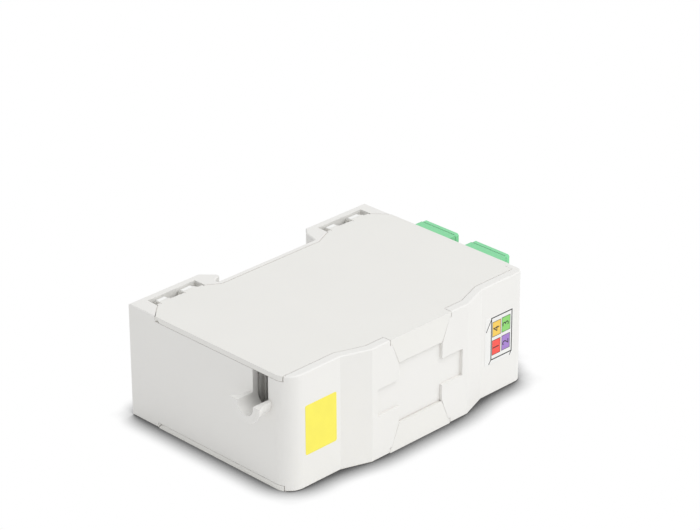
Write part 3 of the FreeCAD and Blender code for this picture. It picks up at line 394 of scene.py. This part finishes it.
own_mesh(latch_spring)

# The four adapters: mint green PBT for angled connectors. Each drops into a notch of the end wall, with its
# collar outside it. The body is satin, with a deep green shade painted into its ports, joints and recesses.
PORTS = (1, 2, 3, 4)
adapter_plastic = moulded_plastic(
    "adapter plastic", paint(128, 218, 158), paint(162, 234, 186), paint(40, 126, 78), 0.36,
    grain=6500.0, radius=0.0002,
)
finish(adapter_plastic, *(f"adapter_body_{port}" for port in PORTS))

# The inserts in each adapter: two halves in a softer green polypropylene, glued back to back, with the
# sleeve holder and the two barbed catches that a plug snaps over.
insert_plastic = moulded_plastic(
    "insert plastic", paint(62, 158, 98), paint(96, 188, 128), paint(14, 64, 38), 0.30,
    grain=5000.0, radius=0.00015,
)
finish(insert_plastic, *(f"adapter_{end}_catch_{port}" for port in PORTS for end in ("front", "rear")))

# The slit sleeves: white zirconia, fired and polished. Each lies loose inside its inserts and lines up the
# two plugs' ferrules.
ceramic = moulded_plastic(
    "zirconia", paint(240, 238, 230), paint(248, 247, 242), paint(170, 166, 156), 0.16,
    grain=2500.0, depth=0.000002, radius=0.0001, sheen=0.03,
)
finish(ceramic, *(f"ferrule_sleeve_{port}" for port in PORTS))

# The shutters: the adapters' mint green, a sprung door in front of each port, on a turned steel pin that
# is pushed through the collar's two ears.
shutter_plastic = moulded_plastic(
    "shutter plastic", paint(130, 220, 160), paint(164, 236, 188), paint(40, 126, 78), 0.34,
    grain=6500.0, radius=0.00025,
)
finish(shutter_plastic, *(f"shutter_{port}" for port in PORTS))
pin_steel = drawn_steel("pin steel", paint(206, 206, 204), 0.22)
finish(pin_steel, *(f"shutter_pin_{port}" for port in PORTS))

# The shutter springs: fine steel wire wound close round the pin. A long leg lies in the collar's recess,
# and a short one turns with the shutter and presses it shut. A leg's corners are ahead of, along and above
# the pin, and the lower row's springs are the upper row's turned over.
COLUMNS = {1: (18.0, -1), 2: (37.3, -1), 3: (37.3, 1), 4: (18.0, 1)}
PIN_X = 93.8
PIN_RISE = 3.1
SPRING_HALF = 3.9
SPRING_COIL = 0.9
SPRING_WIRE = 0.17
SPRING_TURNS = 13
SPRING_STEPS = 16
LONG_LEG = ((1.12, 3.3, 1.8), (1.14, -3.6, 1.85), (1.12, -3.9, 1.6), (0.96, -3.9, 0.5))
SHORT_LEG = ((0.9, 3.9, 0.1), (0.98, 3.9, -0.25), (1.3, 3.9, -0.52))
for number, (column, way) in COLUMNS.items():
    pin_height = MIDDLE + way * PIN_RISE
    long_leg, short_leg = (
        [at(PIN_X + ahead, column + way * along, pin_height + way * rise) for ahead, along, rise in leg]
        for leg in (LONG_LEG, SHORT_LEG)
    )
    helix = []
    for i in range(SPRING_TURNS * SPRING_STEPS + 1):
        turn = 2 * math.pi * i / SPRING_STEPS
        share = i / (SPRING_TURNS * SPRING_STEPS)
        helix.append(
            at(
                PIN_X + SPRING_COIL * math.cos(turn),
                column + way * SPRING_HALF * (2 * share - 1),
                pin_height - way * SPRING_COIL * math.sin(turn),
            )
        )
    vertices, faces = wire(long_leg + helix, SPRING_WIRE)
    coil = new_piece(f"shutter_spring_coil_{number}", vertices, faces, spring_steel, smooth=True)
    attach(coil, "housing")
    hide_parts(f"shutter_spring_{number}")
    vertices, faces = wire(short_leg, SPRING_WIRE)
    leg = new_piece(f"shutter_spring_leg_{number}", vertices, faces, spring_steel, smooth=True)
    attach(leg, f"shutter_{number}")

# The stickers on the shutters: yellow vinyl with a clear coat, cut with round corners and stuck on by hand,
# so each sits a fraction of a degree off square.
STICKER_THICKNESS = 0.1
CORNER_STEPS = 6


def half_span(low, high):
    """Half the way from one place in the scene to another, in millimetres."""
    return (high - low) * 1000 / 2


def sticker(plan, thickness, radius, turn, away):
    """A rounded sheet. The plan is its middle in the scene, two directions, and half its width and height."""
    middle, right, up, half_wide, half_high = plan
    outline = []
    for quarter, (a, b) in enumerate(((1, 1), (-1, 1), (-1, -1), (1, -1))):
        for i in range(CORNER_STEPS + 1):
            angle = math.pi / 2 * (quarter + i / CORNER_STEPS)
            x = a * (half_wide - radius) + radius * math.cos(angle)
            y = b * (half_high - radius) + radius * math.sin(angle)
            outline.append((x * math.cos(turn) - y * math.sin(turn), x * math.sin(turn) + y * math.cos(turn)))
    vertices = []
    for share, rise in ((1.0, 0.0), (1.0, thickness * 0.7), (1 - thickness / half_wide, thickness)):
        for x, y in outline:
            vertices.append(middle + (right * x * share + up * y * share + away * rise) / 1000)
    return vertices, lofted(3, len(outline))


def printed_sheet(name, colour, roughness):
    """A coated label stock: an even print with the slightest cloud, and paper fibre under the coat."""
    material, skin = new_finish(name, grains=3000.0, patches=260.0)
    deep = tinted(colour, share=0.95)
    pale = tinted(colour, share=1.03, lift=0.004)
    body = mix(material.node_tree, skin.outputs["Patches"], deep, pale)
    gloss = (roughness - 0.05, roughness + 0.05)
    join_finish(material, skin, body, gloss, strength=0.35, depth=0.000008)
    return material


yellow_vinyl = printed_sheet("yellow vinyl", paint(253, 240, 88), 0.36)
SHUTTER_STICKER_MARGIN = 0.08
STICKER_TURNS = {1: 0.004, 2: -0.010, 3: 0.008, 4: -0.006}
for number, turn in STICKER_TURNS.items():
    low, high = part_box(f"shutter_label_{number}")
    plan = (
        Vector((low.x, (low.y + high.y) / 2, (low.z + high.z) / 2)), Vector((0, 1, 0)), Vector((0, 0, 1)),
        half_span(low.y, high.y) - SHUTTER_STICKER_MARGIN, half_span(low.z, high.z) - SHUTTER_STICKER_MARGIN,
    )
    vertices, faces = sticker(plan, STICKER_THICKNESS, radius=0.6, turn=turn, away=Vector((1, 0, 0)))
    label = new_piece(f"shutter_sticker_{number}", vertices, faces, yellow_vinyl)
    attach(label, f"shutter_{number}")
    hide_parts(f"shutter_label_{number}")

# The two side covers: the housing's light grey ABS from another tool, so its grain is a little finer. Each
# clips on the rods in the feet with four knuckles and snaps over the nose with one tapered tab.
# Its colours: its own tone, lighter edges for wear and a painted highlight, and a painted shade in its seams
# and joints.
cover_plastic = moulded_plastic(
    "cover plastic", paint(238, 237, 233), paint(245, 245, 242), paint(229, 224, 219), 0.48,
    grain=8200.0, radius=0.00012, reach=0.0005,
)
finish(cover_plastic, "upper_cover", "lower_cover")

# The joint lips: a thin step moulded round each cover's front edge and its snap tab, and one on the housing
# behind the covers, which keep dust out of the joints. Known fault: along the front, COVER_LINES follows the
# edge of the housing's rim and not the cover's edge 0.25 mm behind it, so that those lips are sunk in the rim.
BOX_HEIGHT = 34.0
NOSE_FACE = -3.1
COVER_LINES = {
    "cable_end": ((0.75, 2.5), (18.75, 2.5), (27.45, -0.6), (34.3, -0.6)),
    "port_end": ((57.5, -0.6), (64.35, -0.6), (73.05, 2.5), (87.9, 2.5), (87.9, 5.6), (89.9, 5.6)),
}
TAB_LINE = ((57.5, 33.6), (54.2, 26.1), (37.6, 26.1), (34.3, 33.6))
SEAT_LINES = {
    "cable_end": ((0.05, 51.25), (4.8, 55.65)),
    "middle": ((22.0, 55.65), (26.0, 53.0), (63.0, 53.0), (69.0, 55.65)),
    "port_end": ((86.2, 55.65), (89.95, 51.25)),
}
CORNER_LINES = {"cable_end": ((0.04, 51.25), (2.2, 53.27)), "port_end": ((88.3, 53.2), (89.96, 51.25))}
COVER_LIP = ((-0.1, 0.015), (0.245, 0.015), (0.245, 0.43), (-0.1, 0.43))
TAB_LIP = ((-0.1, 0.08), (0.13, 0.08), (0.13, 0.48), (-0.1, 0.48))
TAB_FOOT = ((-0.1, 0.93), (0.13, 0.93), (0.13, 1.33), (-0.1, 1.33))
SEAT_LEDGE = ((-0.1, 0.2), (0.16, 0.2), (0.1, 0.5), (-0.1, 0.5))
CORNER_WEDGE = ((-0.1, 0.2), (0.1, 0.2), (0.1, 0.35), (1.15, 1.45), (1.15, 1.55), (-0.1, 1.55))


def edge_strip(name, line, section, spot, body):
    """A strip along a line of corners, which it mitres. Its section says how far to the right of the line and
    how deep below the face each edge lies, and spot turns these into a place."""
    points = [Vector(p) for p in line]
    outward = []
    for i in range(len(points)):
        sides = []
        for a, b in ((i - 1, i), (i, i + 1)):
            if a >= 0 and b < len(points):
                step = (points[b] - points[a]).normalized()
                sides.append(Vector((step.y, -step.x)))
        middle = sum(sides, Vector((0.0, 0.0))).normalized()
        outward.append(middle / middle.dot(sides[0]))
    vertices = []
    for point, way in zip(points, outward):
        for reach, depth in section:
            place = point + way * reach
            vertices.append(spot(place.x, place.y, depth))
    strip = new_piece(name, vertices, lofted(len(points), len(section)), cover_plastic)
    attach(strip, body)


def upper_face(x, y, depth):
    """A place below the upper cover's outer face."""
    return at(x, y, BOX_HEIGHT - depth)


def lower_face(x, y, depth):
    """The same place on the lower cover."""
    return at(x, y, depth)


def upper_nose(x, z, depth):
    """A place behind the nose's face, on the upper snap tab."""
    return at(x, depth + NOSE_FACE, z)


def lower_nose(x, z, depth):
    """The same place on the lower snap tab."""
    return at(x, depth + NOSE_FACE, BOX_HEIGHT - z)


for side, face, nose in (("upper", upper_face, upper_nose), ("lower", lower_face, lower_nose)):
    for part, line in COVER_LINES.items():
        edge_strip(f"{side}_cover_lip_{part}", line, COVER_LIP, face, f"{side}_cover")
    edge_strip(f"{side}_tab_lip", TAB_LINE, TAB_LIP, nose, f"{side}_cover")
    edge_strip(f"{side}_tab_foot", TAB_LINE[1:3], TAB_FOOT, nose, f"{side}_cover")
    for part, line in SEAT_LINES.items():
        edge_strip(f"{side}_seat_ledge_{part}", line, SEAT_LEDGE, face, "housing")
    for part, line in CORNER_LINES.items():
        edge_strip(f"{side}_corner_wedge_{part}", line, CORNER_WEDGE, face, "housing")

# The hinge tongues: each cover reaches over its knuckles with a thin tongue. The knuckles' backs and the ribs
# on the tongues are polished in the tool, so that they turn freely in the housing's wells. They are glossier,
# their lighter colour is a painted highlight of the light their rounded faces catch, and their joints get
# painted shade.
painted_highlight_plastic = moulded_plastic(
    "glossy cover plastic with painted highlight", paint(250, 250, 248), paint(253, 253, 252), paint(228, 225, 220), 0.3,
    grain=3000.0, depth=0.000004, reach=0.0007,
)
WELL_STARTS = {"first": 4.8, "second": 69.0}
WELL_LENGTH = 17.2
WELL_PLAY = 0.35
HINGE = (57.4, 32.1)
KNUCKLE_SPANS = {"a": (1.9, 5.0), "b": (10.7, 14.3)}
KNUCKLE_RADIUS = 2.02
KNUCKLE_BORE = 1.6
RIB_MIDDLE = (55.85, 33.7)
RIB_HALF = 0.45
RIB_HEIGHT = 0.28
RIB_STEPS = 10
TONGUE = ((55.1, 33.1), (56.2, 33.1), (56.42, 33.3), (56.42, 33.72), (56.2, 33.88), (55.1, 33.88))


def drawn_bar(name, section, start, end, material):
    """A bar along the box with one outline across it, given in millimetres behind and above the corner."""
    vertices = [at(x, y, z) for x in (start, end) for y, z in section]
    return new_piece(name, vertices, lofted(2, len(section)), material)


def round_part(radius, low, high, steps=8):
    """Points on a circle round the hinge, between two angles in degrees."""
    turns = [math.radians(low + (high - low) * i / steps) for i in range(steps + 1)]
    return [(HINGE[0] + radius * math.cos(turn), HINGE[1] + radius * math.sin(turn)) for turn in turns]


KNUCKLE_BACK = [(57.0, 33.9)]
KNUCKLE_BACK += round_part(KNUCKLE_RADIUS, low=63, high=27)
KNUCKLE_BACK += round_part(KNUCKLE_BORE, low=27, high=100)
TONGUE_RIB = []
for i in range(RIB_STEPS + 1):
    turn = math.pi * i / RIB_STEPS
    y = RIB_MIDDLE[0] + RIB_HALF * math.cos(turn)
    z = RIB_MIDDLE[1] + RIB_HEIGHT * math.sin(turn)
    TONGUE_RIB.append((y, z))
for side in ("upper", "lower"):
    for well, start in WELL_STARTS.items():
        bars = [(f"tongue_{well}", TONGUE, start + WELL_PLAY, start + WELL_LENGTH - WELL_PLAY, cover_plastic)]
        for knuckle, (near, far) in KNUCKLE_SPANS.items():
            for part, section in (("knuckle_back", KNUCKLE_BACK), ("tongue_rib", TONGUE_RIB)):
                name = f"{part}_{well}_{knuckle}"
                bars.append((name, section, start + near, start + far, painted_highlight_plastic))
        for name, section, low, high, plastic in bars:
            if side == "lower":
                section = [(y, BOX_HEIGHT - z) for y, z in section]
            bar = drawn_bar(f"{side}_{name}", section, low, high, plastic)
            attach(bar, f"{side}_cover")

# The front sticker: the same yellow vinyl as on the shutters, cut larger. It is stuck on the flat beside the
# nose at the cable end.
FRONT_STICKER_MARGIN = 0.05
low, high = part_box("front_label")
plan = (
    Vector(((low.x + high.x) / 2, high.y, (low.z + high.z) / 2)), Vector((1, 0, 0)), Vector((0, 0, 1)),
    half_span(low.x, high.x) - FRONT_STICKER_MARGIN, half_span(low.z, high.z) - FRONT_STICKER_MARGIN,
)
vertices, faces = sticker(plan, STICKER_THICKNESS, radius=0.5, turn=0.004, away=Vector((0, -1, 0)))
front_sticker = new_piece("front_sticker", vertices, faces, yellow_vinyl)
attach(front_sticker, "housing")
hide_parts("front_label")

# The port legend: thin white film on the flat beside the nose at the adapter end. It is printed with a line
# drawing of the end face and four coloured fields, numbered as the ports are. Rectangles are given by their
# low and high corners, in millimetres along the box and up.
LEGEND = (74.5, 9.6, 85.9, 24.1)
LEGEND_FILM = 0.08
white_film = printed_sheet("white film", paint(240, 240, 238), 0.4)
plan = (
    at((LEGEND[0] + LEGEND[2]) / 2, 0.0, (LEGEND[1] + LEGEND[3]) / 2), Vector((1, 0, 0)), Vector((0, 0, 1)),
    (LEGEND[2] - LEGEND[0]) / 2, (LEGEND[3] - LEGEND[1]) / 2,
)
vertices, faces = sticker(plan, LEGEND_FILM, radius=0.4, turn=0.0, away=Vector((0, -1, 0)))
film = new_piece("port_legend_film", vertices, faces, white_film)
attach(film, "housing")
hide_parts("port_legend_label")

FIELDS = {
    "orange_field_4": ((77.45, 17.75, 80.75, 22.25), paint(247, 205, 86)),
    "green_field_3": ((81.25, 17.85, 84.6, 22.35), paint(142, 216, 112)),
    "red_field_1": ((77.4, 12.15, 80.7, 16.6), paint(252, 82, 70)),
    "purple_field_2": ((81.3, 12.25, 84.55, 16.7), paint(166, 128, 206)),
}
INK_RISE = 0.015
INK_ROOT = 0.01
FACE_LINE = 0.34
DEPTH_LINE = 0.26
FIELD_LINE = 0.15
END_FACE = ((77.0, 10.85), (85.3, 10.8), (85.3, 23.65), (77.0, 23.7))
DEPTH_LINES = (
    ((76.9, 23.3), (74.95, 20.1)),
    ((76.9, 10.8), (76.2, 9.8)),
    ((85.2, 10.8), (84.65, 9.8)),
)


def ink_sheet(name, outlines, ink):
    """Flat printed areas on the legend, each an outline in millimetres across the front, a hair proud."""
    vertices, faces = [], []
    for outline in outlines:
        faces += lofted(2, len(outline), len(vertices))
        for y in (INK_ROOT - LEGEND_FILM, -LEGEND_FILM - INK_RISE):
            vertices += [at(x, y, z) for x, z in outline]
    thing = new_piece(name, vertices, faces, ink)
    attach(thing, "housing")


def field_corners(x_low, z_low, x_high, z_high):
    """The four corners of a printed field."""
    return [(x_low, z_low), (x_high, z_low), (x_high, z_high), (x_low, z_high)]


def stroke(a, b, width):
    """The outline of a printed line between two points."""
    along = Vector((b[0] - a[0], b[1] - a[1])).normalized() * width / 2
    side = Vector((along.y, -along.x))
    a, b = Vector(a) - along, Vector(b) + along
    return [tuple(spot) for spot in (a + side, b + side, b - side, a - side)]


def closed_line(corners, width):
    """The outlines of the printed lines from corner to corner and back to the first."""
    return [stroke(corner, corners[(i + 1) % len(corners)], width) for i, corner in enumerate(corners)]


for name, (field, colour) in FIELDS.items():
    ink_sheet(name, [field_corners(*field)], printed_sheet(name.replace("_", " "), colour, 0.42))
black_ink = printed_sheet("black ink", paint(34, 33, 32), 0.5)
lines = closed_line(END_FACE, FACE_LINE) + [stroke(a, b, DEPTH_LINE) for a, b in DEPTH_LINES]
for field, colour in FIELDS.values():
    lines += closed_line(field_corners(*field), FIELD_LINE)
ink_sheet("port_legend_lines", lines, black_ink)

DIGITS = {"4": (79.1, 19.9), "3": (82.9, 20.2), "1": (79.05, 14.3), "2": (82.95, 14.4)}
DIGIT_SIZE = 3.5
DIGIT_THINNING = -0.01
DIGIT_THICKNESS = 0.008
DIGIT_RISE = 0.004
LYING_ON_FRONT = Matrix(((0, -1, 0, 0), (0, 0, -1, 0), (1, 0, 0, 0), (0, 0, 0, 1)))
for digit, (x_middle, z_middle) in DIGITS.items():
    curve = bpy.data.curves.new(f"digit {digit}", "FONT")
    curve.body = digit
    curve.size = DIGIT_SIZE / 1000
    curve.align_x = "CENTER"
    curve.align_y = "CENTER"
    curve.extrude = DIGIT_THICKNESS / 1000
    curve.offset = DIGIT_THINNING / 1000
    text = bpy.data.objects.new(f"digit {digit}", curve)
    bpy.context.scene.collection.objects.link(text)
    bpy.context.view_layer.update()
    mesh = bpy.data.meshes.new_from_object(text)
    bpy.data.objects.remove(text)
    place = at(x_middle, -LEGEND_FILM - INK_RISE - DIGIT_RISE, z_middle)
    mesh.transform(Matrix.Translation(place) @ LYING_ON_FRONT)
    mesh.materials.clear()
    mesh.materials.append(black_ink)
    number = bpy.data.objects.new(f"port_number_{digit}", mesh)
    bpy.context.scene.collection.objects.link(number)
    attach(number, "housing")

# The studio: a plain white floor, a large soft lamp over the front, and a white world all round. Where the
# floor is seen, it shows white with a painted soft shadow round the box; other rays meet a white diffuse
# floor. The floor and the world show white themselves and light the box at a plain level.
WHITE = (1.0, 1.0, 1.0, 1.0)
BLACK = (0.0, 0.0, 0.0, 1.0)
FLOOR_HALF = 4.0
PAINTED_SHADOW_REACH = 0.0088
WORLD_LIGHT = 0.68


def looked_at(tree):
    """A mask that is 1 where a surface is seen: by the camera, in a reflection or through something clear."""
    path = put(tree, "ShaderNodeLightPath").outputs
    mirrored = put(
        tree, "ShaderNodeMath",
        {0: path["Is Glossy Ray"], 1: path["Is Transmission Ray"]}, operation="MAXIMUM",
    )
    seen = put(
        tree, "ShaderNodeMath",
        {0: path["Is Camera Ray"], 1: mirrored.outputs[0]}, operation="MAXIMUM",
    )
    return seen.outputs[0]


floor_mesh = bpy.data.meshes.new("studio floor")
corners = [(x * FLOOR_HALF, y * FLOOR_HALF, 0.0) for x, y in ((-1, -1), (1, -1), (1, 1), (-1, 1))]
floor_mesh.from_pydata(corners, [], [(0, 1, 2, 3)])
floor = bpy.data.objects.new("studio_floor", floor_mesh)
bpy.context.scene.collection.objects.link(floor)
floor_paint = bpy.data.materials.new("studio floor")
floor_paint.use_nodes = True
tree = floor_paint.node_tree
bsdf = tree.nodes["Principled BSDF"]
bsdf.inputs["Base Color"].default_value = WHITE
bsdf.inputs["Roughness"].default_value = 0.9
bsdf.inputs["Specular IOR Level"].default_value = 0.0
# Painted shadow: where the floor is seen, its white emission is darkened near the box by an ambient occlusion
# mask instead of the lamp's own shadow.
contact = put(tree, "ShaderNodeAmbientOcclusion", {"Distance": PAINTED_SHADOW_REACH}, samples=16)
painted_contact_shadow = put(
    tree, "ShaderNodeMapRange",
    {"Value": contact.outputs["AO"], "From Min": 0.5, "From Max": 0.93, "To Min": 0.09, "To Max": 1.0},
)
glow = put(tree, "ShaderNodeEmission", {"Color": mix(tree, painted_contact_shadow.outputs["Result"], BLACK, WHITE)})
look = put(tree, "ShaderNodeMixShader", {0: looked_at(tree), 1: bsdf.outputs[0], 2: glow.outputs[0]})
tree.links.new(look.outputs[0], tree.nodes["Material Output"].inputs["Surface"])
floor_mesh.materials.append(floor_paint)

world = bpy.data.worlds.new("studio")
bpy.context.scene.world = world
world.use_nodes = True
sky = world.node_tree.nodes["Background"]
sky.inputs["Color"].default_value = WHITE
strength = span(world.node_tree, looked_at(world.node_tree), WORLD_LIGHT, 1.0)
world.node_tree.links.new(strength, sky.inputs["Strength"])

lamp = bpy.data.lights.new("front softbox", "AREA")
lamp.shape = "SQUARE"
lamp.size = 1.3
lamp.energy = 16.0
softbox = bpy.data.objects.new("front softbox", lamp)
softbox.location = (0.5, -1.1, 1.6)
softbox_aim = Vector((0, 0, 0.01))
softbox.rotation_euler = (softbox.location - softbox_aim).to_track_quat("Z", "Y").to_euler()
bpy.context.scene.collection.objects.link(softbox)

# The camera: where the photograph was taken from, high over the corner between the cable end and the front.
# It has a long lens and stands about 0.8 m away.
CAMERA_YAW = math.radians(-44.92)
CAMERA_PITCH = math.radians(26.18)
CAMERA_ROLL = math.radians(-0.18)
CAMERA_PLACE = at(-445.43, -469.16, 384.82)
PHOTO_WIDTH = 700
FOCAL_PIXELS = 2883.1
SENSOR_WIDTH = 36.0
level = Vector((math.cos(CAMERA_YAW), math.sin(CAMERA_YAW), 0.0))
back = Vector((math.sin(CAMERA_YAW), -math.cos(CAMERA_YAW), 0.0)) * math.cos(CAMERA_PITCH)
back.z = math.sin(CAMERA_PITCH)
right = level * math.cos(CAMERA_ROLL) + back.cross(level) * math.sin(CAMERA_ROLL)
up = back.cross(right)
camera_data = bpy.data.cameras.new("camera")
camera_data.sensor_width = SENSOR_WIDTH
camera_data.lens = FOCAL_PIXELS / PHOTO_WIDTH * SENSOR_WIDTH
camera_data.clip_start = 0.01
camera = bpy.data.objects.new("camera", camera_data)
turned = Matrix((right, up, back)).transposed().to_4x4()
camera.matrix_world = Matrix.Translation(CAMERA_PLACE) @ turned
bpy.context.scene.collection.objects.link(camera)
bpy.context.scene.camera = camera
bpy.context.scene.view_settings.view_transform = "Standard"
